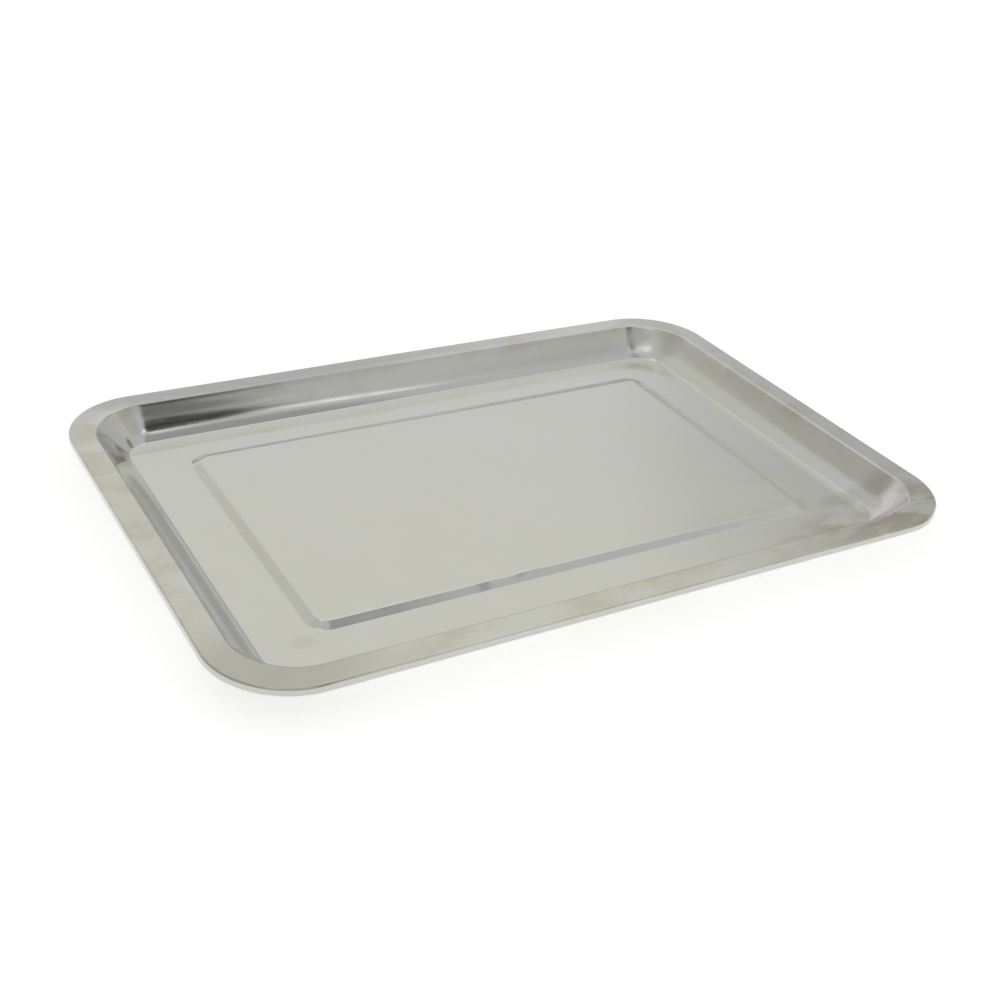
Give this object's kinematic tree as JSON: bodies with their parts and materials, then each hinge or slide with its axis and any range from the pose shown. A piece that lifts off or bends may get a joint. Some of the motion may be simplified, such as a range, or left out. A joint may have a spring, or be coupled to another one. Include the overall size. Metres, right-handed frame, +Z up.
{
  "type": "rectangular tray",
  "caption": "Shallow rectangular stainless steel tray with rounded corners, a flat turned-down rim, sloping walls and a slightly raised panel in its floor.",
  "frame": {"origin": "on the surface the tray rests on, under the middle of the tray", "axes": "+X along the long side, +Y along the short side, +Z up out of the open well"},
  "size_m": [0.4, 0.278, 0.0162],
  "materials": {
    "steel": "bright polished stainless steel, finely rolled grain, faint smudges and heat tint at one corner"
  },
  "bodies": {
    "root": {"tray": "steel"}
  },
  "joints": []
}
